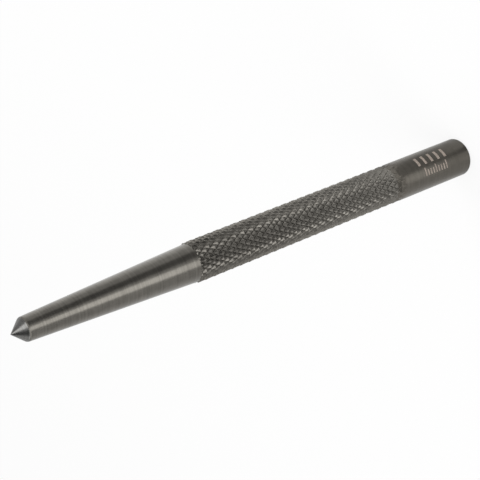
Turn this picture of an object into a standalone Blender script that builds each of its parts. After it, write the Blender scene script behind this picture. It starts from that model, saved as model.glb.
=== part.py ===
"""Centre punch: one turned and knurled bar of steel.

The punch stands on its struck face at the origin and the point is up, along +Z.
"""

import math

import bmesh
import bpy

MM = 0.001

# Lengths along the axis, in millimetres
OVERALL_LENGTH = 125.0
NOSE_LENGTH = 43.6
HEAD_LENGTH = 21.5

# Diameters, in millimetres
SHOULDER_DIAMETER = 5.2
BARREL_DIAMETER = 9.0

# Angle of the ground point from side to side, in degrees
POINT_ANGLE = 82.3

# Radius that breaks the edge of the struck face, in millimetres, and the flats it is drawn with
FACE_EDGE_RADIUS = 0.8
FACE_EDGE_STEPS = 5

# Chamfer that leads from the nose up to the knurl: length and height, in millimetres
FRONT_CHAMFER = 0.35
FRONT_STEP = 0.27

# Diamond knurl: teeth around the bar, depth in millimetres, angle of the grooves to the axis in degrees
KNURL_TEETH = 20
KNURL_DEPTH = 0.38
KNURL_ANGLE = 30.7

# Rows of teeth over which the knurl fades out towards the head
RUN_OUT_ROWS = 3

# Profile points closer than this are one point, in millimetres
MERGE_DISTANCE = 0.001

# Faces that meet at more than this angle, in degrees, keep a sharp edge
SHARP_ANGLE = 30.0

STEEL_COLOR = (0.105, 0.103, 0.097, 1.0)
STEEL_ROUGHNESS = 0.3


def remove_old_objects():
    """Take every object that is in the scene out of it."""
    for old in list(bpy.data.objects):
        bpy.data.objects.remove(old, do_unlink=True)


def steel():
    """Return the dark oxidised steel of the whole punch."""
    material = bpy.data.materials.new("black_oxide_steel")
    material.use_nodes = True
    shader = material.node_tree.nodes["Principled BSDF"]
    shader.inputs["Base Color"].default_value = STEEL_COLOR
    shader.inputs["Metallic"].default_value = 1.0
    shader.inputs["Roughness"].default_value = STEEL_ROUGHNESS
    material.diffuse_color = STEEL_COLOR
    return material


class Knurl:
    """The rings of the knurled grip, from the nose down to the head."""

    def __init__(self):
        self.crest = BARREL_DIAMETER / 2
        self.nose_end = OVERALL_LENGTH - NOSE_LENGTH
        self.top = self.nose_end - FRONT_CHAMFER
        self.length = self.top - HEAD_LENGTH
        tooth_width = math.pi * BARREL_DIAMETER / KNURL_TEETH
        tooth_length = tooth_width / math.tan(math.radians(KNURL_ANGLE))
        self.rows = max(RUN_OUT_ROWS + 1, round(self.length / tooth_length))
        self.half_row = self.length / self.rows / 2
        self.rings = 2 * self.rows + 1
        self.columns = 2 * KNURL_TEETH

    def ring_height(self, ring):
        """Height of a ring above the struck face."""
        return self.top - ring * self.half_row

    def depth_at(self, ring):
        """Depth of the grooves at a ring, which falls to nothing at the head."""
        rows_left = (self.rings - 1 - ring) / 2
        return KNURL_DEPTH * min(1.0, rows_left / RUN_OUT_ROWS)


def profile_points(knurl):
    """Return the outer line of the turned bar, from the point down to the struck face."""
    shoulder = SHOULDER_DIAMETER / 2
    point_length = shoulder / math.tan(math.radians(POINT_ANGLE / 2))
    points = [
        (0.0, OVERALL_LENGTH),
        (shoulder, OVERALL_LENGTH - point_length),
        (knurl.crest - FRONT_STEP, knurl.nose_end),
    ]
    for ring in range(knurl.rings):
        points.append((knurl.crest, knurl.ring_height(ring)))
    for step in range(FACE_EDGE_STEPS + 1):
        turn = math.radians(90.0 * step / FACE_EDGE_STEPS)
        radius = knurl.crest - FACE_EDGE_RADIUS * (1 - math.cos(turn))
        height = FACE_EDGE_RADIUS * (1 - math.sin(turn))
        points.append((radius, height))
    points.append((0.0, 0.0))
    return points


def turn_profile(points, columns):
    """Return an object with the profile turned once about the Z axis."""
    mesh = bpy.data.meshes.new("turned_bar")
    corners = [(radius * MM, 0.0, height * MM) for radius, height in points]
    lines = [(i, i + 1) for i in range(len(points) - 1)]
    mesh.from_pydata(corners, lines, [])
    bar = bpy.data.objects.new("turned_bar", mesh)
    bpy.context.scene.collection.objects.link(bar)
    screw = bar.modifiers.new("turn", "SCREW")
    screw.axis = "Z"
    screw.angle = math.radians(360.0)
    screw.steps = columns
    screw.render_steps = columns
    screw.use_merge_vertices = True
    screw.merge_threshold = MERGE_DISTANCE * MM
    screw.use_normal_calculate = True
    return bar


def roll_knurl(mesh, knurl):
    """Press the diamond grooves into the grip of the turned bar.

    The grip is a grid of small four-sided faces. Every second corner is the place where two grooves cross and
    is moved inward. The others stay as the tips of the teeth. A line across each face joins its two low
    corners, so the lines run on as straight grooves in two directions around the bar.
    """
    grid = bmesh.new()
    grid.from_mesh(mesh)
    low = set()
    in_grip = set()
    quarter_ring = knurl.half_row / 4
    for corner in grid.verts:
        radius = math.hypot(corner.co.x, corner.co.y) / MM
        height = corner.co.z / MM
        ring = round((knurl.top - height) / knurl.half_row)
        if not 0 <= ring < knurl.rings:
            continue
        if abs(knurl.ring_height(ring) - height) > quarter_ring:
            continue
        if radius < knurl.crest - FRONT_STEP / 2:
            continue
        in_grip.add(corner)
        column = round(math.atan2(corner.co.y, corner.co.x) / (2 * math.pi) * knurl.columns)
        if (column + ring) % 2 == 0:
            low.add(corner)
            inward = (knurl.crest - knurl.depth_at(ring)) / knurl.crest
            corner.co.x *= inward
            corner.co.y *= inward
    for face in list(grid.faces):
        if not all(corner in in_grip for corner in face.verts):
            continue
        pair = [corner for corner in face.verts if corner in low]
        if len(face.verts) == 4 and len(pair) == 2:
            bmesh.utils.face_split(face, pair[0], pair[1])
    grid.normal_update()
    grid.to_mesh(mesh)
    grid.free()


def build():
    """Build the punch in a collection of its own."""
    remove_old_objects()
    knurl = Knurl()
    bar = turn_profile(profile_points(knurl), knurl.columns)
    shapes = bpy.context.evaluated_depsgraph_get()
    mesh = bpy.data.meshes.new_from_object(bar.evaluated_get(shapes))
    bpy.data.objects.remove(bar, do_unlink=True)
    roll_knurl(mesh, knurl)
    mesh.name = "center_punch"
    mesh.materials.clear()
    mesh.materials.append(steel())
    mesh.shade_smooth()
    mesh.set_sharp_from_angle(angle=math.radians(SHARP_ANGLE))
    punch = bpy.data.objects.new("center_punch", mesh)
    own = bpy.data.collections.new("center_punch")
    bpy.context.scene.collection.children.link(own)
    own.objects.link(punch)


build()
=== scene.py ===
"""The centre punch as it looks: turned nose, ground point, diamond grip and plain blackened head.

The punch stands on its struck face with the point up, as the frame does. Lengths are in metres. The front of
the punch is the side towards -Y, where its mark is.
"""

import logging
import math
from collections.abc import Callable, Iterable
from dataclasses import dataclass
from enum import Enum

import bmesh
import bpy
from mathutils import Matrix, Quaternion, Vector


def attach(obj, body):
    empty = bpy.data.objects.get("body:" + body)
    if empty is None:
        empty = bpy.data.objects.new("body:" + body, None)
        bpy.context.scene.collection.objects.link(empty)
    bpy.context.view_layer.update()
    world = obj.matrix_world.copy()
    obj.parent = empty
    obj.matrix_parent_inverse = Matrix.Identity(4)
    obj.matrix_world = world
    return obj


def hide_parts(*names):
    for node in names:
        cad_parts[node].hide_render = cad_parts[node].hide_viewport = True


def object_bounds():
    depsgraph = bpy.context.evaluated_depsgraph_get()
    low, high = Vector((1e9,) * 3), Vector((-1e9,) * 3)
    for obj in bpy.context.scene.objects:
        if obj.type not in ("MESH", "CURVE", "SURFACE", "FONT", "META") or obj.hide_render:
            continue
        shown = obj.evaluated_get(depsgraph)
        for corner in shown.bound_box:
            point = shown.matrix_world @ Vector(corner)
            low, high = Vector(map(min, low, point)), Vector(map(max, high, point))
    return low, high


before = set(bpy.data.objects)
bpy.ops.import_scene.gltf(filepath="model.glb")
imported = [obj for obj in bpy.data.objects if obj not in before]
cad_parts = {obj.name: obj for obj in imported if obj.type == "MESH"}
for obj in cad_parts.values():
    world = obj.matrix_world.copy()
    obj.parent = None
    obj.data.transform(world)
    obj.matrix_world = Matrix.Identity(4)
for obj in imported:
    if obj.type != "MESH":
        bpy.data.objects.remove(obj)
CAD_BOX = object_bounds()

LOG = logging.getLogger("center_punch")

MM = 0.001
CAD_NODE = "center_punch"

WHITE = (1.0, 1.0, 1.0, 1.0)

# Points nearer to each other than this are at one place
NEAR = 0.001 * MM

# Flats that draw the smooth round of the nose and the head
ROUND_SIDES = 80

# Faces that meet at more than this angle, in degrees, keep a sharp edge
SHARP_ANGLE = 30.0


class Finish(Enum):
    """The finishes of the punch, by the order of their material slots."""

    GROUND_POINT = 0
    TURNED_NOSE = 1
    KNURLED_GRIP = 2
    BLACKENED_HEAD = 3


class Socket:
    """A shader value that can be used in plain arithmetic.

    Attributes:
        graph: The nodes that it belongs to.
        link: The output that it comes from.
    """

    def __init__(self, graph: "Graph", link: bpy.types.NodeSocket) -> None:
        """Keep the graph and the output that the value comes from."""
        self.graph = graph
        self.link = link

    def __add__(self, other: "Socket | float") -> "Socket":
        """Return the sum."""
        return self.graph.math("ADD", self, other)

    def __radd__(self, other: float) -> "Socket":
        """Return the sum with the number first."""
        return self.graph.math("ADD", other, self)

    def __sub__(self, other: "Socket | float") -> "Socket":
        """Return the difference."""
        return self.graph.math("SUBTRACT", self, other)

    def __rsub__(self, other: float) -> "Socket":
        """Return the difference with the number first."""
        return self.graph.math("SUBTRACT", other, self)

    def __mul__(self, other: "Socket | float") -> "Socket":
        """Return the product."""
        return self.graph.math("MULTIPLY", self, other)

    def __rmul__(self, other: float) -> "Socket":
        """Return the product with the number first."""
        return self.graph.math("MULTIPLY", other, self)

    def __truediv__(self, other: "Socket | float") -> "Socket":
        """Return the quotient."""
        return self.graph.math("DIVIDE", self, other)


class Graph:
    """The nodes of one material or of the world.

    Attributes:
        tree: The node tree that is filled.
    """

    # Sockets of a Mix node for its two colours and for the one between them
    FIRST_COLOR = 6
    SECOND_COLOR = 7
    MIXED_COLOR = 2

    # How strong each finer layer of noise is against the one before it
    NOISE_FALLOFF = 0.6

    def __init__(self, owner: bpy.types.Material | bpy.types.World) -> None:
        """Empty the owner's node tree and hold it.

        Args:
            owner: The material or world whose nodes are made.
        """
        owner.use_nodes = True
        self.tree = owner.node_tree
        self.tree.nodes.clear()

    def add(self, kind: str, settings: dict | None = None, inputs: dict | None = None) -> bpy.types.Node:
        """Add one node.

        Args:
            kind: The node's type name.
            settings: The node's own settings, which are set first.
            inputs: The values or links of its sockets, by socket name or number.

        Returns:
            The new node.
        """
        node = self.tree.nodes.new(kind)
        for name, value in (settings or {}).items():
            setattr(node, name, value)
        for name, value in (inputs or {}).items():
            if isinstance(value, Socket):
                self.tree.links.new(value.link, node.inputs[name])
            else:
                node.inputs[name].default_value = value
        return node

    def out(self, node: bpy.types.Node, name: str | int = 0) -> Socket:
        """Return one output of a node as a value."""
        return Socket(self, node.outputs[name])

    def math(self, operation: str, first: "Socket | float", second: "Socket | float" = 0.0) -> Socket:
        """Return the result of a Math node on one or two values."""
        node = self.add("ShaderNodeMath", {"operation": operation}, {0: first, 1: second})
        return self.out(node)

    def step_up(self, value: Socket, low: float, high: float) -> Socket:
        """Return a smooth rise from 0 at one value to 1 at another.

        Args:
            value: What is compared.
            low: Where the rise starts.
            high: Where the rise ends.

        Returns:
            The rise, from 0 to 1.
        """
        settings = {"interpolation_type": "SMOOTHSTEP"}
        inputs = {"Value": value, "From Min": low, "From Max": high, "To Min": 0.0, "To Max": 1.0}
        return self.out(self.add("ShaderNodeMapRange", settings, inputs))

    def window(self, value: Socket, low: float, high: float, soft: float) -> Socket:
        """Return 1 between two values, with a smooth fall to 0 of the soft width at both."""
        return self.step_up(value, low, low + soft) * (1.0 - self.step_up(value, high - soft, high))

    def noise(self, place: Socket, scale: float, detail: float) -> Socket:
        """Return noise from 0 to 1 at a place, by its grains to the metre and its finer layers."""
        inputs = {"Vector": place, "Scale": scale, "Detail": detail, "Roughness": self.NOISE_FALLOFF}
        return self.out(self.add("ShaderNodeTexNoise", {"noise_dimensions": "3D"}, inputs), "Fac")

    def blend(self, share: Socket, first: tuple, second: tuple) -> Socket:
        """Return the colour that lies a share of the way from the first to the second."""
        inputs = {"Factor": share, self.FIRST_COLOR: first, self.SECOND_COLOR: second}
        return self.out(self.add("ShaderNodeMix", {"data_type": "RGBA"}, inputs), self.MIXED_COLOR)


@dataclass(frozen=True)
class Steel:
    """A dark steel finish, with lines around the bar and faint patches.

    Attributes:
        name: The material's name.
        dark: The colour of its darker places.
        light: The colour of its lighter places.
        roughness: How blurred its reflections are.
        roughness_spread: How far the roughness wanders.
        line_scale: Tool lines to the metre along the axis.
        line_height: Depth of the tool lines in metres.
        patch_scale: Patches to the metre.
        stretch: How far reflections are drawn out along the bar, from 0 to 1.
        stretch_turn: Share of a full turn that lays the stretch along the bar.
        edge_tint: How much of the light it keeps where it is seen at a flat angle.
        lengthwise_tone: How much lighter it grows towards the head, and darker towards the nose.
        lengthwise_tone_middle: Height where this change neither lightens nor darkens it.
        lengthwise_tone_reach: Distance from there, along the axis, at which the change has its full share.
        line_squeeze: How far the lines are squeezed across the axis, which draws them out round the bar.
        line_share: How much of the change in colour comes from the tool lines.
        patch_share: How much of it comes from the patches.
        tone_range: The shares at which the colour is fully dark and fully light.
    """

    name: str
    dark: tuple
    light: tuple
    roughness: float
    roughness_spread: float
    line_scale: float
    line_height: float
    patch_scale: float
    stretch: float = 0.0
    stretch_turn: float = 0.25
    edge_tint: tuple = (0.88, 0.88, 0.88, 1.0)
    lengthwise_tone: float = 0.0
    lengthwise_tone_middle: float = 51 * MM
    lengthwise_tone_reach: float = 30 * MM
    line_squeeze: float = 0.02
    line_share: float = 0.6
    patch_share: float = 0.4
    tone_range: tuple = (0.3, 0.7)

    def material(self) -> bpy.types.Material:
        """Make the finish as a material that reads Object coordinates.

        Returns:
            The material.
        """
        made = bpy.data.materials.new(self.name)
        graph = Graph(made)
        place = graph.out(graph.add("ShaderNodeTexCoord"), "Object")
        lines = graph.noise(self._drawn_out(graph, place), scale=self.line_scale, detail=3.0)
        patches = graph.noise(place, scale=self.patch_scale, detail=4.0)
        parts = graph.add("ShaderNodeSeparateXYZ", {}, {"Vector": place})
        # The colour grows lighter towards the head and darker towards the nose, along the axis.
        towards_head = (self.lengthwise_tone_middle - graph.out(parts, "Z")) / self.lengthwise_tone_reach
        share = self.line_share * lines + self.patch_share * patches + self.lengthwise_tone * towards_head
        color = graph.blend(graph.step_up(share, *self.tone_range), self.dark, self.light)
        swing = 2.0 * (patches - 0.5)
        depth = self.line_height * lines
        bump = graph.add("ShaderNodeBump", {}, {"Strength": 1.0, "Distance": 1.0, "Height": depth})
        shader = graph.add(
            "ShaderNodeBsdfPrincipled",
            {},
            {
                "Base Color": color,
                "Metallic": 1.0,
                "Roughness": self.roughness + self.roughness_spread * swing,
                "Anisotropic": self.stretch,
                "Anisotropic Rotation": self.stretch_turn,
                "Specular Tint": self.edge_tint,
                "Normal": graph.out(bump),
            },
        )
        graph.add("ShaderNodeOutputMaterial", {}, {"Surface": graph.out(shader)})
        return made

    def _drawn_out(self, graph: Graph, place: Socket) -> Socket:
        """Return the place squeezed across the axis, which draws a pattern out round the bar."""
        squeeze = (self.line_squeeze, self.line_squeeze, 1.0)
        return graph.out(graph.add("ShaderNodeVectorMath", {"operation": "MULTIPLY"}, {0: place, 1: squeeze}))


# The steel of each stretch of the bar
STEELS: dict[Finish, Steel] = {
    Finish.GROUND_POINT: Steel(
        name="ground_point",
        dark=(0.083, 0.081, 0.077, 1.0),
        light=(0.117, 0.116, 0.113, 1.0),
        roughness=0.28,
        roughness_spread=0.04,
        line_scale=3000.0,
        line_height=0.6e-6,
        patch_scale=600.0,
        stretch=0.3,
    ),
    Finish.TURNED_NOSE: Steel(
        name="turned_nose",
        dark=(0.087, 0.082, 0.073, 1.0),
        light=(0.128, 0.121, 0.108, 1.0),
        roughness=0.30,
        roughness_spread=0.04,
        line_scale=2500.0,
        line_height=1.5e-6,
        patch_scale=400.0,
        stretch=0.6,
    ),
    Finish.KNURLED_GRIP: Steel(
        name="knurled_grip",
        dark=(0.090, 0.085, 0.076, 1.0),
        light=(0.160, 0.152, 0.137, 1.0),
        roughness=0.24,
        roughness_spread=0.05,
        line_scale=2000.0,
        line_height=0.0,
        patch_scale=900.0,
        edge_tint=(0.68, 0.67, 0.65, 1.0),
        lengthwise_tone=0.13,
    ),
    Finish.BLACKENED_HEAD: Steel(
        name="blackened_head",
        dark=(0.092, 0.085, 0.073, 1.0),
        light=(0.114, 0.105, 0.091, 1.0),
        roughness=0.38,
        roughness_spread=0.03,
        line_scale=1500.0,
        line_height=0.3e-6,
        patch_scale=500.0,
    ),
}


@dataclass(frozen=True)
class LaserMark:
    """The pale matt colour that a laser leaves on blackened steel.

    Attributes:
        name: The material's name.
        dark: The colour of its darker places.
        light: The colour of its lighter places.
        roughness: How blurred its reflections are.
        metallic: How far the steel still shows as metal.
        grain_scale: Grains to the metre.
        tone_range: The grain's values at which the colour is fully dark and fully light.
    """

    name: str = "laser_marked_steel"
    dark: tuple = (0.26, 0.215, 0.18, 1.0)
    light: tuple = (0.39, 0.33, 0.285, 1.0)
    roughness: float = 0.7
    metallic: float = 0.25
    grain_scale: float = 4000.0
    tone_range: tuple = (0.35, 0.65)

    def material(self) -> bpy.types.Material:
        """Make the mark's colour as a material that reads Object coordinates.

        Returns:
            The material.
        """
        made = bpy.data.materials.new(self.name)
        graph = Graph(made)
        place = graph.out(graph.add("ShaderNodeTexCoord"), "Object")
        grain = graph.noise(place, scale=self.grain_scale, detail=2.0)
        color = graph.blend(graph.step_up(grain, *self.tone_range), self.dark, self.light)
        shader = graph.add(
            "ShaderNodeBsdfPrincipled",
            {},
            {"Base Color": color, "Metallic": self.metallic, "Roughness": self.roughness},
        )
        graph.add("ShaderNodeOutputMaterial", {}, {"Surface": graph.out(shader)})
        return made


def deselect_all() -> None:
    """Leave no object selected."""
    bpy.ops.object.select_all(action="DESELECT")


class Modelling:
    """One new mesh piece while it is shaped in edit mode.

    Attributes:
        piece: The object that is shaped.
        radius: Radius of the selected round loop.
        height: Height of that loop.
    """

    def __init__(self, name: str) -> None:
        """Take the active object, which a primitive has just made, and open it.

        Args:
            name: The name of the piece.
        """
        self.piece = bpy.context.object
        self.piece.name = name
        self.piece.data.name = name
        bpy.ops.object.transform_apply(location=True, rotation=True, scale=True)
        bpy.ops.object.mode_set(mode="EDIT")
        self.radius = 0.0
        self.height = 0.0

    def pick(self, kind: str, wanted: Callable[..., bool]) -> None:
        """Select the corners, edges or faces that a test accepts.

        Args:
            kind: VERT, EDGE or FACE.
            wanted: The test, which gets the mesh element.
        """
        bpy.ops.mesh.select_mode(type=kind)
        bpy.ops.mesh.select_all(action="DESELECT")
        grid = bmesh.from_edit_mesh(self.piece.data)
        elements = {"VERT": grid.verts, "EDGE": grid.edges, "FACE": grid.faces}[kind]
        for element in filter(wanted, list(elements)):
            element.select_set(True)
        bmesh.update_edit_mesh(self.piece.data)

    def pick_loop(self, height: float) -> None:
        """Select the open loop at a height, to grow the piece from it."""
        self.pick("EDGE", lambda edge: self._is_open_at(edge, height))
        self.height = height

    def _is_open_at(self, edge: bmesh.types.BMEdge, height: float) -> bool:
        """Tell whether an edge is part of an open loop at a height."""
        return len(edge.link_faces) < 2 and all(abs(end.co.z - height) < NEAR for end in edge.verts)

    def grow_round(self, radius: float, height: float) -> None:
        """Bridge the selected open loop to a new circle of even steps.

        Args:
            radius: Radius of the circle.
            height: Height of the circle.
        """
        start = self.height
        bpy.ops.mesh.primitive_circle_add(vertices=ROUND_SIDES, radius=radius, location=(0.0, 0.0, height))
        self.pick("EDGE", lambda edge: self._is_open_at(edge, start) or self._is_open_at(edge, height))
        bpy.ops.mesh.bridge_edge_loops()
        self.pick_loop(height)
        self.radius = radius

    def grow(self, radius: float, height: float) -> None:
        """Extrude the selected round loop to a new place on the axis.

        Args:
            radius: Radius of the new loop.
            height: Height of the new loop.
        """
        bpy.ops.mesh.extrude_edges_move(TRANSFORM_OT_translate={"value": (0.0, 0.0, height - self.height)})
        self.height = height
        self._widen(radius)

    def _widen(self, radius: float) -> None:
        """Scale the selected round loop about the axis.

        Args:
            radius: Its new radius.
        """
        share = radius / self.radius
        bpy.ops.transform.resize(value=(share, share, 1.0), center_override=(0.0, 0.0, 0.0))
        self.radius = radius

    def cast(self, radius: float, group: str = "") -> None:
        """Draw corners straight out or in to a cylinder about the axis.

        Args:
            radius: Radius of the cylinder.
            group: The vertex group that says how far each corner goes, or no name for all the way.
        """
        draw = self.piece.modifiers.new("cast", "CAST")
        draw.cast_type = "CYLINDER"
        draw.factor = 1.0
        draw.use_z = False
        draw.use_radius_as_size = False
        draw.size = radius
        draw.vertex_group = group
        self.apply(draw)

    def crease(self) -> None:
        """Keep the selected edges sharp when the piece is shaded smooth."""
        bpy.ops.mesh.mark_sharp()

    def close(self) -> bpy.types.Object:
        """Leave edit mode and return the piece."""
        bpy.ops.object.mode_set(mode="OBJECT")
        return self.piece

    def apply(self, modifier: bpy.types.Modifier) -> None:
        """Apply a modifier, out of edit mode and back.

        Args:
            modifier: One of the piece's modifiers.
        """
        bpy.ops.object.mode_set(mode="OBJECT")
        bpy.ops.object.modifier_apply(modifier=modifier.name)
        bpy.ops.object.mode_set(mode="EDIT")


@dataclass
class Grip:
    """The knurled length between the nose and the plain head.

    Attributes:
        top: Height where the knurl starts, above the struck face.
        bottom: Height where the knurl has faded out.
        crest: Radius over the tips of the teeth.
        depth: Depth of the grooves.
        teeth: Teeth around the bar.
        angle: Angle of the grooves to the axis, in degrees.
        flank: How far in from its edge a tooth has its small flat top.
        easing: Width that is taken off the edges of a tooth.
        run_out_rows: Rows over which the grooves fade.
        flat_rows: Rows at the end of the run-out that are shaded round.
        turn: How far the teeth are turned about the axis, in degrees.
        slide: How far the rows are slid towards the head.
        flat_weight: How far large faces outweigh small ones in the shading, where 50 is by size alone.
        spare_rows: Rows that are modelled beyond the grip and trimmed off.
        end_margin: How near its front end the teeth are still shaded flat.
    """

    top: float
    bottom: float
    crest: float
    depth: float = 0.39 * MM
    teeth: int = 20
    angle: float = 30.7
    flank: float = 0.42 * MM
    easing: float = 0.09 * MM
    run_out_rows: float = 1.3
    flat_rows: float = 0.4
    turn: float = 1.8
    slide: float = 0.9 * MM
    flat_weight: int = 100
    spare_rows: int = 2
    end_margin: float = 0.01 * MM

    def __post_init__(self) -> None:
        """Work out the size of a tooth, so that whole rows fill the grip."""
        width = 2 * math.pi * self.crest / self.teeth
        self.rows = round((self.top - self.bottom) * math.tan(math.radians(self.angle)) / width)
        self.pitch = (self.top - self.bottom) / self.rows
        self.root = self.crest - self.depth

    def roll(self) -> Modelling:
        """Model the sleeve of diamond teeth, open at both ends.

        Returns:
            The piece, in edit mode.
        """
        deselect_all()
        rows = self.rows + self.spare_rows
        bpy.ops.mesh.primitive_cylinder_add(
            vertices=self.teeth,
            radius=self.root,
            depth=rows * self.pitch,
            end_fill_type="NOTHING",
            location=(0.0, 0.0, (self.top + self.bottom) / 2 - self.slide),
            rotation=(0.0, 0.0, math.radians(self.turn)),
        )
        bar = Modelling("punch_body")
        bar.pick("EDGE", lambda edge: abs(edge.verts[0].co.z - edge.verts[1].co.z) > self.pitch)
        bpy.ops.mesh.subdivide(number_cuts=rows - 1)
        bpy.ops.mesh.select_all(action="SELECT")
        bpy.ops.mesh.poke()
        bar.pick("EDGE", self._is_grid_line)
        bpy.ops.mesh.dissolve_edges(use_verts=False)
        bar.cast(self.root)
        self._raise_teeth()
        self._ease(bar)
        self._trim()
        self._fade(bar)
        return bar

    def _is_grid_line(self, edge: bmesh.types.BMEdge) -> bool:
        """Tell whether an edge is one of the lines that were there before the faces were poked."""
        return not edge.is_boundary and all(len(corner.link_edges) != 4 for corner in edge.verts)

    def _raise_teeth(self) -> None:
        """Raise each diamond into a tooth with a small flat top."""
        bpy.ops.mesh.select_mode(type="FACE")
        bpy.ops.mesh.select_all(action="SELECT")
        bpy.ops.mesh.inset(thickness=self.flank, depth=self.depth, use_individual=True)

    def _ease(self, bar: Modelling) -> None:
        """Ease the edges of the teeth and the bottoms of the grooves."""
        bar.pick("EDGE", lambda edge: not edge.is_boundary)
        bpy.ops.mesh.bevel(offset=self.easing, segments=1, affect="EDGES", clamp_overlap=True)

    def _trim(self) -> None:
        """Cut the sleeve square at both ends."""
        for height, side in ((self.top, 1.0), (self.bottom, -1.0)):
            bpy.ops.mesh.select_all(action="SELECT")
            bpy.ops.mesh.bisect(
                plane_co=(0.0, 0.0, height),
                plane_no=(0.0, 0.0, side),
                use_fill=False,
                clear_outer=True,
                threshold=NEAR,
            )

    def _fade(self, bar: Modelling) -> None:
        """Fade the grooves out towards the head.

        Args:
            bar: The sleeve of teeth, in edit mode.
        """
        bpy.ops.object.mode_set(mode="OBJECT")
        group = bar.piece.vertex_groups.new(name="run_out")
        length = self.run_out_rows * self.pitch
        for corner in bar.piece.data.vertices:
            share = 1.0 - min(1.0, max(0.0, (corner.co.z - self.bottom) / length))
            group.add([corner.index], share, "REPLACE")
        bpy.ops.object.mode_set(mode="EDIT")
        bar.cast(self.crest, "run_out")

    def flatten(self, piece: bpy.types.Object) -> None:
        """Shade the faces of the teeth flat, with the turn of the surface in the eased edges.

        Args:
            piece: The finished piece, out of edit mode.
        """
        group = piece.vertex_groups.new(name="teeth")
        low = self.bottom + self.flat_rows * self.pitch
        high = self.top - self.end_margin
        inside = [corner.index for corner in piece.data.vertices if low < corner.co.z < high]
        group.add(inside, 1.0, "REPLACE")
        flats = piece.modifiers.new("flats", "WEIGHTED_NORMAL")
        flats.keep_sharp = True
        flats.weight = self.flat_weight
        flats.vertex_group = group.name
        bpy.ops.object.modifier_apply(modifier=flats.name)


@dataclass
class Nose:
    """The long taper and the ground point.

    Attributes:
        base: Height of the wide end.
        base_radius: Radius of the wide end.
        tip: Height of the tip before it was worn.
        shoulder_radius: Radius where the point starts.
        point_angle: Angle of the point from side to side, in degrees.
        edge: Width of the soft edge at the shoulder.
        edge_rings: Rings past the shoulder, each with how far up it is and how far it is drawn in, in widths
            of the soft edge.
        edge_lead: How far before the shoulder the even rings of the taper stop, in the same widths.
        taper_rings: Rings along the taper.
        point_rings: Rings of the point, as shares of the shoulder's radius.
        tip_radius: Radius at which the worn tip starts.
        tip_flat: Radius of the flat on the tip, as a share of that radius.
        tip_wear: How much of the height above that radius is worn off, where 1 is all of it.
    """

    base: float
    base_radius: float
    tip: float
    shoulder_radius: float = 2.6 * MM
    point_angle: float = 82.3
    edge: float = 0.20 * MM
    edge_rings: tuple = ((0.4, 0.12), (1.0, 0.0), (3.0, 0.0))
    edge_lead: float = 3.0
    taper_rings: int = 24
    point_rings: tuple = (0.75, 0.5, 0.25)
    tip_radius: float = 0.24 * MM
    tip_flat: float = 0.5
    tip_wear: float = 0.4

    def __post_init__(self) -> None:
        """Work out the height of the shoulder."""
        self.slope = math.tan(math.radians(self.point_angle / 2))
        self.shoulder = self.tip - self.shoulder_radius / self.slope

    def draw(self, bar: Modelling, grip_top: float) -> None:
        """Grow the nose from the open end of the grip.

        Args:
            bar: The piece, in edit mode.
            grip_top: Height of the open end.
        """
        bar.pick_loop(grip_top)
        bar.crease()
        bar.grow_round(self.base_radius, self.base)
        bar.crease()
        self._draw_taper(bar)
        self._draw_point(bar)

    def _draw_taper(self, bar: Modelling) -> None:
        """Grow the taper up to the soft edge at the shoulder.

        Args:
            bar: The piece, in edit mode.
        """
        fall = (self.base_radius - self.shoulder_radius) / (self.shoulder - self.base)
        length = self.shoulder - self.edge_lead * self.edge - self.base
        for ring in range(1, self.taper_rings + 1):
            rise = length * ring / self.taper_rings
            bar.grow(self.base_radius - fall * rise, self.base + rise)
        bar.grow(self.shoulder_radius + fall * self.edge, self.shoulder - self.edge)

    def _draw_point(self, bar: Modelling) -> None:
        """Grow the point from the soft edge to the worn tip and close it.

        Args:
            bar: The piece, in edit mode.
        """
        for place, drawn_in in self.edge_rings:
            rise = self.edge * place
            bar.grow(self.shoulder_radius - rise * self.slope - drawn_in * self.edge, self.shoulder + rise)
        for share in self.point_rings:
            bar.grow(self.shoulder_radius * share, self.tip - self.shoulder_radius * share / self.slope)
        bar.grow(self.tip_radius, self.tip - self.tip_radius / self.slope)
        bar.grow(self.tip_radius * self.tip_flat, self.tip - self.tip_radius * self.tip_wear / self.slope)
        bpy.ops.mesh.edge_face_add()


@dataclass
class Head:
    """The plain end that the hammer strikes.

    Attributes:
        top: Height where the knurl ends.
        radius: Radius of the bar.
        edge_radius: Radius that softens the edge of the struck face.
        edge_rings: Rings that draw this edge.
        body_rings: Rings along the plain length.
        lead: Length of the band that leads to it from the knurl.
    """

    top: float
    radius: float
    edge_radius: float = 0.8 * MM
    edge_rings: int = 8
    body_rings: int = 6
    lead: float = 0.2 * MM

    def draw(self, bar: Modelling) -> None:
        """Grow the head from the open end of the grip and close it.

        Args:
            bar: The piece, in edit mode.
        """
        bar.pick_loop(self.top)
        bar.grow_round(self.radius, self.top - self.lead)
        step = (self.top - self.edge_radius) / self.body_rings
        for ring in range(1, self.body_rings + 1):
            bar.grow(self.radius, self.top - step * ring)
        for ring in range(1, self.edge_rings + 1):
            turn = math.radians(90.0 * ring / self.edge_rings)
            radius = self.radius - self.edge_radius * (1 - math.cos(turn))
            bar.grow(radius, self.edge_radius * (1 - math.sin(turn)))
        bpy.ops.mesh.edge_face_add()


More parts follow.
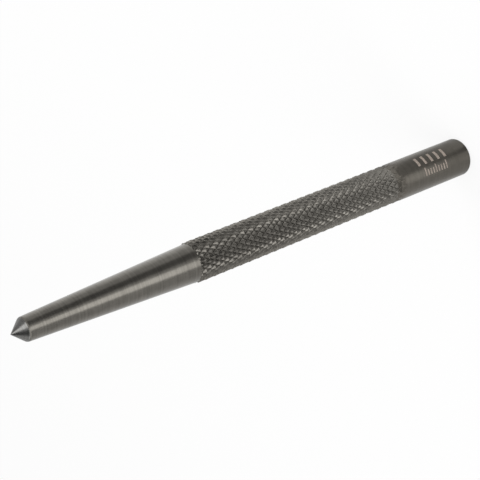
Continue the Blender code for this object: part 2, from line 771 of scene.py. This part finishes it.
@dataclass
class Punch:
    """The whole punch, drawn as one skin over its solid.

    Attributes:
        length: Overall length.
        radius: Radius of the bar.
        nose_length: Length from the tip to the wide end of the nose.
        head_length: Length of the plain head.
        chamfer: Length of the chamfer in front of the knurl.
        chamfer_step: How far the wide end of the nose lies under the teeth.
        shared_rows: Rows at the end of the knurl that have the finish of the head.
    """

    length: float
    radius: float
    nose_length: float = 43.6 * MM
    head_length: float = 21.5 * MM
    chamfer: float = 0.35 * MM
    chamfer_step: float = 0.27 * MM
    shared_rows: float = 1.2

    def __post_init__(self) -> None:
        """Set out the sections from the overall length."""
        base = self.length - self.nose_length
        self.grip = Grip(top=base - self.chamfer, bottom=self.head_length, crest=self.radius)
        self.nose = Nose(base=base, base_radius=self.radius - self.chamfer_step, tip=self.length)
        self.head = Head(top=self.head_length, radius=self.radius)

    def build(self) -> bpy.types.Object:
        """Model the punch and dress it.

        Returns:
            The finished piece.
        """
        bar = self.grip.roll()
        self.nose.draw(bar, self.grip.top)
        self.head.draw(bar)
        bpy.ops.mesh.select_all(action="SELECT")
        bpy.ops.mesh.normals_make_consistent(inside=False)
        piece = bar.close()
        bpy.ops.object.shade_smooth_by_angle(angle=math.radians(SHARP_ANGLE))
        self.grip.flatten(piece)
        self._dress(piece)
        return piece

    def finish_at(self, height: float) -> Finish:
        """Tell which finish the bar has at a height.

        Args:
            height: The height over the struck face.

        Returns:
            The finish.
        """
        if height > self.nose.shoulder:
            return Finish.GROUND_POINT
        if height > self.nose.base:
            return Finish.TURNED_NOSE
        if height > self.head.top + self.shared_rows * self.grip.pitch:
            return Finish.KNURLED_GRIP
        return Finish.BLACKENED_HEAD

    def _dress(self, piece: bpy.types.Object) -> None:
        """Give each stretch of the bar its finish.

        Args:
            piece: The whole bar.
        """
        for finish in Finish:
            piece.data.materials.append(STEELS[finish].material())
        for face in piece.data.polygons:
            face.material_index = self.finish_at(face.center.z).value


@dataclass(frozen=True)
class TickRow:
    """One row of equal ticks.

    Attributes:
        drop: How far below the end of the mark the middle of the first tick is.
        width: Width of a tick along the axis.
        arc: Where a tick starts and ends round the head, as arcs from the front.
        count: How many ticks there are.
        pitch: Distance from one tick to the next.
    """

    drop: float
    width: float
    arc: tuple[float, float]
    count: int
    pitch: float


@dataclass
class SizeTicks:
    """Two rows of plain pale ticks that a laser has marked on the head.

    Attributes:
        radius: Radius of the head.
        first: Height of the end of the mark nearest the knurl.
        lift: How far the mark lies over the steel.
        steps: Flats that draw one tick round the head.
        broad: The row of broad ticks.
        fine: The row of fine ticks.
        long: The row that makes every fourth fine tick longer.
    """

    radius: float
    first: float = 16.7 * MM
    lift: float = 0.01 * MM
    steps: int = 6
    broad: TickRow = TickRow(0.6 * MM, width=0.75 * MM, arc=(-3.5 * MM, -1.15 * MM), count=5, pitch=2.1 * MM)
    fine: TickRow = TickRow(1.6 * MM, width=0.32 * MM, arc=(0.2 * MM, 1.6 * MM), count=9, pitch=0.85 * MM)
    long: TickRow = TickRow(1.6 * MM, width=0.32 * MM, arc=(-0.4 * MM, 0.2 * MM), count=3, pitch=3.4 * MM)

    def _row(self, row: TickRow) -> bpy.types.Object:
        """Model one tick on the round of the head and repeat it down the row.

        Args:
            row: The row's sizes.

        Returns:
            The row, as one piece.
        """
        left = -self.radius * math.tan(row.arc[1] / self.radius)
        right = -self.radius * math.tan(row.arc[0] / self.radius)
        middle = ((left + right) / 2, -self.radius, self.first - row.drop)
        deselect_all()
        bpy.ops.mesh.primitive_grid_add(
            x_subdivisions=self.steps,
            y_subdivisions=1,
            size=right - left,
            location=middle,
            rotation=(math.radians(90.0), 0.0, 0.0),
        )
        bar = Modelling("tick")
        bpy.ops.mesh.select_all(action="SELECT")
        bpy.ops.transform.resize(value=(1.0, 1.0, row.width / (right - left)), center_override=middle)
        bar.cast(self.radius + self.lift)
        repeat = bar.piece.modifiers.new("repeat", "ARRAY")
        repeat.count = row.count
        repeat.use_relative_offset = False
        repeat.use_constant_offset = True
        repeat.constant_offset_displace = (0.0, 0.0, -row.pitch)
        bar.apply(repeat)
        return bar.close()

    def build(self) -> bpy.types.Object:
        """Model the rows and join them.

        Returns:
            The finished piece.
        """
        rows = [self._row(row) for row in (self.broad, self.fine, self.long)]
        deselect_all()
        for row in rows:
            row.select_set(True)
        bpy.context.view_layer.objects.active = rows[0]
        bpy.ops.object.join()
        piece = bpy.context.object
        piece.name = "size_ticks"
        piece.data.name = "size_ticks"
        bpy.ops.object.shade_smooth()
        piece.data.materials.append(LaserMark().material())
        return piece


@dataclass
class Card:
    """A soft-edged card round the punch that only reflections see.

    Attributes:
        name: The card's name.
        azimuths: Where it starts and ends round the punch, in whole degrees from the front towards -X.
        strength: How bright it is, where 1 is white.
        soft: Width of the soft edges at its sides, in degrees.
    """

    # Corners of a full circle of card, one to a degree
    CORNERS = 360

    # How far past its sides a corner still counts as on the card, in degrees
    SLACK = 0.25

    name: str
    azimuths: tuple[int, int]
    strength: float
    soft: float

    def rings(self) -> list[tuple[float, float]]:
        """Return the radius and height of each row of corners."""
        raise NotImplementedError

    def mask_ends(self, graph: Graph, place: Socket) -> Socket:
        """Return how much of the card there is at a place, from its first row to its last."""
        raise NotImplementedError

    def build(self) -> bpy.types.Object:
        """Model the card, which only reflections see.

        Returns:
            The card.
        """
        (radius, height), *others = self.rings()
        deselect_all()
        bpy.ops.mesh.primitive_circle_add(vertices=self.CORNERS, radius=radius, location=(0.0, 0.0, height))
        card = Modelling(self.name)
        card.pick("VERT", self._is_outside)
        bpy.ops.mesh.delete(type="VERT")
        card.pick("EDGE", lambda edge: True)
        card.radius = radius
        card.height = height
        for radius, height in others:
            card.grow(radius, height)
        piece = card.close()
        piece.data.materials.append(self._material())
        piece.visible_camera = False
        piece.visible_diffuse = False
        piece.visible_shadow = False
        piece.visible_transmission = False
        return piece

    def _is_outside(self, corner: bmesh.types.BMVert) -> bool:
        """Tell whether a corner of the full circle lies outside the card."""
        azimuth = math.degrees(math.atan2(-corner.co.x, -corner.co.y))
        return not self.azimuths[0] - self.SLACK < azimuth < self.azimuths[1] + self.SLACK

    def _material(self) -> bpy.types.Material:
        """Make the card's glow, which fades out at its edges.

        Returns:
            The material.
        """
        made = bpy.data.materials.new(self.name)
        graph = Graph(made)
        place = graph.out(graph.add("ShaderNodeTexCoord"), "Object")
        parts = graph.add("ShaderNodeSeparateXYZ", {}, {"Vector": place})
        azimuth = graph.math("ARCTAN2", -1.0 * graph.out(parts, "X"), -1.0 * graph.out(parts, "Y"))
        first, last = (math.radians(side) for side in self.azimuths)
        share = graph.window(azimuth, first, last, math.radians(self.soft)) * self.mask_ends(graph, place)
        clear = graph.add("ShaderNodeBsdfTransparent")
        light = graph.add("ShaderNodeEmission", {}, {"Strength": self.strength})
        mix = graph.add("ShaderNodeMixShader", {}, {0: share, 1: graph.out(clear), 2: graph.out(light)})
        graph.add("ShaderNodeOutputMaterial", {}, {"Surface": graph.out(mix)})
        return made


@dataclass
class FloorCard(Card):
    """A level wedge of card that lies on the floor or over it.

    Attributes:
        distances: Where it starts and ends, from the axis. It is lit between the same two distances from the
            middle of the struck face.
        fade: Length of the soft edge inside each of these two.
        lift: How far it lies over the floor.
    """

    distances: tuple[float, float]
    fade: float
    lift: float = 0.1 * MM

    def rings(self) -> list[tuple[float, float]]:
        """Return the radius and height of each row of corners."""
        return [(distance, self.lift) for distance in self.distances]

    def mask_ends(self, graph: Graph, place: Socket) -> Socket:
        """Return how much of the card there is, by the distance from the middle of the struck face."""
        length = graph.out(graph.add("ShaderNodeVectorMath", {"operation": "LENGTH"}, {0: place}), "Value")
        return graph.window(length, self.distances[0], self.distances[1], self.fade)


@dataclass
class UprightCard(Card):
    """A card that stands upright and follows a circle about the axis.

    Attributes:
        distance: Distance from the axis.
        heights: Height of its lower and its upper edge.
        fade: Height of the soft edge at each of them.
    """

    distance: float
    heights: tuple[float, float]
    fade: float

    def rings(self) -> list[tuple[float, float]]:
        """Return the radius and height of each row of corners."""
        return [(self.distance, height) for height in self.heights]

    def mask_ends(self, graph: Graph, place: Socket) -> Socket:
        """Return how much of the card there is, from its lower edge to its upper edge."""
        parts = graph.add("ShaderNodeSeparateXYZ", {}, {"Vector": place})
        return graph.window(graph.out(parts, "Z"), self.heights[0], self.heights[1], self.fade)


@dataclass
class DomeCard(Card):
    """A curved card that stands round a place on the punch's axis.

    Attributes:
        elevations: Where it starts and ends above the level, in degrees.
        height: Height of the place it is bent round.
        distance: Distance from there.
        steps: Rows of faces from its lower to its upper edge.
        fade_share: How much of its height the soft edge takes at each of them.
    """

    elevations: tuple[float, float]
    height: float
    distance: float
    steps: int = 12
    fade_share: float = 0.2

    def rings(self) -> list[tuple[float, float]]:
        """Work out the rows of corners.

        Returns:
            The radius and height of each row.
        """
        low, high = self.elevations
        rows = []
        for step in range(self.steps + 1):
            elevation = math.radians(low + (high - low) * (step / self.steps))
            height = self.height + self.distance * math.sin(elevation)
            rows.append((self.distance * math.cos(elevation), height))
        return rows

    def mask_ends(self, graph: Graph, place: Socket) -> Socket:
        """Return how much of the card there is, from its lower edge to its upper edge.

        Args:
            graph: The card's material.
            place: Where on the card it is asked for.

        Returns:
            The share, which falls to nothing at both edges.
        """
        parts = graph.add("ShaderNodeSeparateXYZ", {}, {"Vector": place})
        rows = self.rings()
        low, high = rows[0][1], rows[-1][1]
        return graph.window(graph.out(parts, "Z"), low, high, (high - low) * self.fade_share)


@dataclass(frozen=True)
class Lamp:
    """A soft area lamp that reflections don't see.

    Attributes:
        name: The lamp's name.
        place: Where it stands.
        width: Its width.
        length: Its length.
        power: Its power in watts.
    """

    name: str
    place: tuple[float, float, float]
    width: float
    length: float
    power: float

    def build(self, aim: Vector) -> None:
        """Stand the lamp in its place and turn it to what it lights.

        Args:
            aim: The point that it looks at.
        """
        data = bpy.data.lights.new(self.name, "AREA")
        data.shape = "RECTANGLE"
        data.size = self.width
        data.size_y = self.length
        data.energy = self.power
        lamp = bpy.data.objects.new(self.name, data)
        bpy.context.scene.collection.objects.link(lamp)
        lamp.location = self.place
        lamp.rotation_euler = (aim - Vector(self.place)).to_track_quat("-Z", "Y").to_euler()
        lamp.visible_glossy = False


@dataclass
class Studio:
    """Floor, cards, lamps, world and camera.

    Attributes:
        camera_distance: Level distance of the camera from the punch's axis.
        camera_height: Height of the camera.
        aim: The point that the camera and the lamps look at.
        roll: How far the camera is turned about its line of sight, in degrees.
        lens: Focal length in millimetres.
        sensor: Width of the camera's sensor in millimetres.
        nearest: How near the camera still sees.
        floor_size: Length of each side of the floor.
        floor_color: The colour of the floor.
        floor_white: How much of plain white shows in it where the camera or a reflection sees it.
        tent_light: How bright the world is as a light. Where it is seen it is plain white.
        tray: Height of the cards under the grip.
        tip: Height that the cards of the point are bent round.
        key_lamp: The stronger lamp, at the front left.
        fill_lamp: The weaker lamp, at the right.
    """

    camera_distance: float = 264.554 * MM
    camera_height: float = 245.93 * MM
    aim: tuple[float, float, float] = (0.632 * MM, 0.0, 67.335 * MM)
    roll: float = -111.66
    lens: float = 111.88
    sensor: float = 36.0
    nearest: float = 10 * MM
    floor_size: float = 6.0
    floor_color: tuple = (0.9, 0.9, 0.9, 1.0)
    floor_white: float = 0.85
    tent_light: float = 0.7
    tray: float = 23 * MM
    tip: float = 125 * MM
    key_lamp: Lamp = Lamp("key_lamp", place=(-0.25, -0.25, 0.55), width=0.30, length=0.30, power=1.3)
    fill_lamp: Lamp = Lamp("fill_lamp", place=(0.45, 0.1, 0.40), width=0.35, length=0.35, power=0.9)

    def build(self) -> None:
        """Make the whole studio."""
        bpy.context.scene.view_settings.view_transform = "Standard"
        self._camera()
        self._floor()
        self._world()
        self.key_lamp.build(Vector(self.aim))
        self.fill_lamp.build(Vector(self.aim))
        cards = self._nose_cards() + self._grip_cards() + self._tray_cards()
        cards += self._head_cards() + self._point_cards()
        for card in cards:
            card.build()

    def _nose_cards(self) -> list[Card]:
        """Set out the cards round the nose.

        Returns:
            A pale wrap, and inside it a light strip, a dark flag beside it and a card at each side.
        """
        near = {"distance": 20 * MM, "heights": (68 * MM, 121 * MM), "fade": 4 * MM}
        wrap = {"distance": 21 * MM, "heights": (66 * MM, 121 * MM), "fade": 4 * MM}
        return [
            UprightCard("nose_wrap", azimuths=(-179, 179), strength=1.0, soft=1.0, **wrap),
            UprightCard("nose_strip", azimuths=(-2, 34), strength=3.35, soft=6.0, **near),
            UprightCard("nose_flag", azimuths=(-57, -9), strength=0.27, soft=12.0, **near),
            UprightCard("nose_left_card", azimuths=(-169, -70), strength=1.9, soft=36.0, **near),
            UprightCard("nose_right_card", azimuths=(70, 169), strength=1.4, soft=36.0, **near),
        ]

    def _grip_cards(self) -> list[Card]:
        """Set out the cards for the tops and the upper flanks of the teeth.

        Returns:
            Cards on the floor, two of them for the sides alone, and the same cards upright behind them.
        """
        strip = {"azimuths": (-1, 30), "strength": 3.8, "soft": 9.0}
        left = {"azimuths": (-101, -55), "strength": 2.0, "soft": 20.0}
        right = {"azimuths": (56, 106), "strength": 1.5, "soft": 22.0}
        shade = {"azimuths": (10, 110), "strength": 0.75, "soft": 30.0}
        front = {"azimuths": (-80, 30), "strength": 0.6, "soft": 20.0}
        far = {"distances": (150 * MM, 520 * MM), "fade": 20 * MM}
        wide = {"distances": (40 * MM, 520 * MM), "fade": 5 * MM}
        beside = {"distances": (52 * MM, 150 * MM), "fade": 8 * MM, "lift": 0.15 * MM}
        upright = {"heights": (-20 * MM, 140 * MM), "fade": 15 * MM}
        return [
            FloorCard("grip_floor_strip", **strip, **far),
            FloorCard("grip_floor_left", **left, **wide),
            FloorCard("grip_floor_right", **right, **wide),
            FloorCard("grip_floor_shade", **shade, **wide, lift=0.05 * MM),
            FloorCard("grip_floor_front", **front, **wide, lift=0.03 * MM),
            FloorCard("grip_tops_left", azimuths=(-160, -74), strength=2.3, soft=20.0, **beside),
            FloorCard("grip_tops_right", azimuths=(84, 146), strength=1.8, soft=20.0, **beside),
            UprightCard("grip_strip", **strip, **upright, distance=500 * MM),
            UprightCard("grip_left_card", **left, **upright, distance=500 * MM),
            UprightCard("grip_right_card", **right, **upright, distance=500 * MM),
            UprightCard("grip_shade", **shade, **upright, distance=510 * MM),
            UprightCard("grip_front", **front, **upright, distance=515 * MM),
        ]

    def _tray_cards(self) -> list[Card]:
        """Set out the cards for the lower flanks of the teeth.

        Returns:
            Cards that lie over each other at the height of the tray.
        """
        near = {"distances": (3 * MM, 24 * MM), "fade": 9 * MM, "lift": self.tray + 0.15 * MM}
        wide = {"distances": (4 * MM, 36 * MM), "fade": 5 * MM}
        lowest = {**wide, "lift": self.tray}
        middle = {**wide, "lift": self.tray + 0.05 * MM}
        upper = {**wide, "lift": self.tray + 0.1 * MM}
        return [
            FloorCard("grip_under_head_end", azimuths=(-150, 150), strength=1.5, soft=30.0, **near),
            FloorCard("grip_under_left", azimuths=(-130, -60), strength=1.0, soft=20.0, **lowest),
            FloorCard("grip_under_front", azimuths=(-75, 10), strength=1.3, soft=20.0, **middle),
            FloorCard("grip_under_right", azimuths=(40, 130), strength=1.1, soft=20.0, **lowest),
            FloorCard("grip_under_flag", azimuths=(0, 48), strength=0.65, soft=10.0, **upper),
        ]

    def _head_cards(self) -> list[Card]:
        """Set out the cards on the floor round the head.

        Returns:
            A shade, a light strip in two stretches, a dark flag beside it and a card at each side.
        """
        near = {"distances": (3 * MM, 38 * MM), "fade": 1 * MM}
        shade = {"distances": (11 * MM, 38 * MM), "fade": 8 * MM, "lift": 0.05 * MM}
        far = {"distances": (15 * MM, 38 * MM), "fade": 10 * MM, "lift": 0.15 * MM}
        return [
            FloorCard("head_shade", azimuths=(-110, -10), strength=0.52, soft=26.0, **shade),
            FloorCard("head_strip", azimuths=(4, 30), strength=1.15, soft=6.0, **near),
            FloorCard("head_far_strip", azimuths=(-6, 42), strength=2.6, soft=10.0, **far),
            FloorCard("head_flag", azimuths=(-29, -5), strength=0.42, soft=5.0, **near),
            FloorCard("head_left_card", azimuths=(-178, -84), strength=1.5, soft=40.0, **near),
            FloorCard("head_right_card", azimuths=(76, 178), strength=1.3, soft=40.0, **near),
        ]

    def _point_cards(self) -> list[Card]:
        """Set out the cards bent round the tip.

        Returns:
            Low cards for the rim, and above them a light box and a dark flag.
        """
        low = {"height": self.tip, "distance": 400 * MM}
        lowest = {"height": self.tip, "distance": 410 * MM}
        high = {"height": self.tip, "distance": 300 * MM}
        rim = {"azimuths": (0, 124), "elevations": (8.0, 28.0)}
        left = {"azimuths": (-172, -112), "elevations": (2.0, 26.0)}
        right = {"azimuths": (118, 172), "elevations": (2.0, 20.0)}
        box = {"azimuths": (-66, 5), "elevations": (28.0, 74.0)}
        flag = {"azimuths": (24, 94), "elevations": (32.0, 72.0)}
        return [
            DomeCard("point_rim_card", **rim, strength=3.4, soft=20.0, **low),
            DomeCard("point_left_card", **left, strength=1.7, soft=20.0, **low),
            DomeCard("point_right_card", **right, strength=1.7, soft=14.0, **lowest),
            DomeCard("point_softbox", **box, strength=5.1, soft=16.0, **high),
            DomeCard("point_flag", **flag, strength=0.1, soft=12.0, **high),
        ]

    def _camera(self) -> None:
        """Add the camera at the photograph's viewing angle."""
        data = bpy.data.cameras.new("camera")
        data.sensor_width = self.sensor
        data.lens = self.lens
        data.clip_start = self.nearest
        camera = bpy.data.objects.new("camera", data)
        bpy.context.scene.collection.objects.link(camera)
        place = Vector((0.0, -self.camera_distance, self.camera_height))
        sight = (Vector(self.aim) - place).to_track_quat("-Z", "Y")
        camera.rotation_mode = "QUATERNION"
        camera.rotation_quaternion = sight @ Quaternion((0.0, 0.0, 1.0), math.radians(self.roll))
        camera.location = place
        bpy.context.scene.camera = camera

    def _seen(self, graph: Graph) -> Socket:
        """Tell the rays that show the background from those that light the punch.

        Args:
            graph: The nodes that it is asked in.

        Returns:
            1 for a ray from the camera, off metal or through glass, and 0 for others.
        """
        rays = graph.add("ShaderNodeLightPath")
        direct = graph.math("MAXIMUM", graph.out(rays, "Is Camera Ray"), graph.out(rays, "Is Glossy Ray"))
        return graph.math("MAXIMUM", direct, graph.out(rays, "Is Transmission Ray"))

    def _floor(self) -> None:
        """Add the pale floor, which keeps a faint shadow."""
        deselect_all()
        bpy.ops.mesh.primitive_plane_add(size=self.floor_size, location=(0.0, 0.0, 0.0))
        floor = bpy.context.object
        floor.name = "floor"
        made = bpy.data.materials.new("pale_floor")
        graph = Graph(made)
        matt = graph.add("ShaderNodeBsdfDiffuse", {}, {"Color": self.floor_color})
        white = graph.add("ShaderNodeEmission", {}, {"Color": WHITE, "Strength": 1.0})
        share = self.floor_white * self._seen(graph)
        mix = graph.add("ShaderNodeMixShader", {}, {0: share, 1: graph.out(matt), 2: graph.out(white)})
        graph.add("ShaderNodeOutputMaterial", {}, {"Surface": graph.out(mix)})
        floor.data.materials.append(made)

    def _world(self) -> None:
        """Light the punch evenly from all round."""
        world = bpy.data.worlds.new("white_tent")
        bpy.context.scene.world = world
        graph = Graph(world)
        strength = self.tent_light + (1.0 - self.tent_light) * self._seen(graph)
        back = graph.add("ShaderNodeBackground", {}, {"Color": WHITE, "Strength": strength})
        graph.add("ShaderNodeOutputWorld", {}, {"Surface": graph.out(back)})


def carry(pieces: Iterable[bpy.types.Object]) -> None:
    """Tie each piece to the solid's body.

    Args:
        pieces: The finished pieces.
    """
    for piece in pieces:
        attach(piece, "root")
        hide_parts(CAD_NODE)
        LOG.info("%s: %d faces", piece.name, len(piece.data.polygons))


def main() -> None:
    """Build the punch and its studio."""
    logging.basicConfig(level=logging.INFO, format="%(message)s")
    low, high = CAD_BOX
    punch = Punch(length=high.z - low.z, radius=(high.x - low.x) / 2)
    body = punch.build()
    ticks = SizeTicks(radius=punch.radius).build()
    carry([body, ticks])
    Studio().build()


if __name__ == "__main__":
    main()
